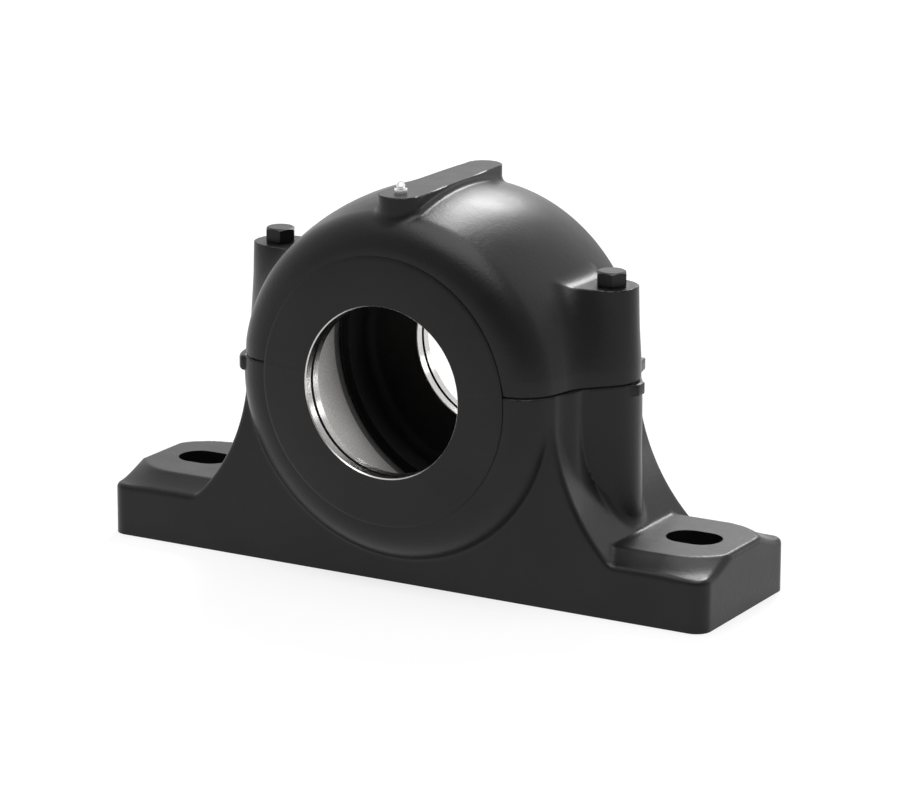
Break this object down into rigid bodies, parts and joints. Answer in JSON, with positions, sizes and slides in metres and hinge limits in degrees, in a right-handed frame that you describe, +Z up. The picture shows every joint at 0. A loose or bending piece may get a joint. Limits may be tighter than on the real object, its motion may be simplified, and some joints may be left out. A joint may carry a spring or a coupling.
{
  "type": "split plummer block",
  "caption": "Split cast-iron plummer block housing with a crowned barrel, slotted foot, hexagon cap bolts and a grease nipple on its rib, empty and open to its machined bearing seat.",
  "frame": {"origin": "middle of the sole, straight below the middle of the shaft's axis", "axes": "+X along the foot, +Y along the shaft away from the nipple, +Z up from the sole"},
  "size_m": [0.38, 0.134, 0.2254],
  "materials": {
    "painted_iron": "semi-matt black paint on a sand casting, bare machined metal in the bores",
    "black_bolt_steel": "black oiled steel",
    "zinc_steel": "bright zinc plating",
    "bright_steel": "ground steel"
  },
  "bodies": {
    "housing": {"housing_base": "painted_iron", "housing_cap": "painted_iron", "cap_bolt_left": "black_bolt_steel", "cap_bolt_right": "black_bolt_steel", "dowel_pin_left": "bright_steel", "dowel_pin_right": "bright_steel", "nipple_body": "zinc_steel", "nipple_spring": "bright_steel"},
    "check_ball": {"nipple_ball": "bright_steel"}
  },
  "joints": [
    {"name": "ball_press", "type": "slide", "parent": "housing", "child": "check_ball", "axis": [0, 0, -1], "range_m": [0, 0.0006], "stiffness_N_per_m": 100, "springref_m": -0.0005, "deforming": ["nipple_spring"]}
  ]
}
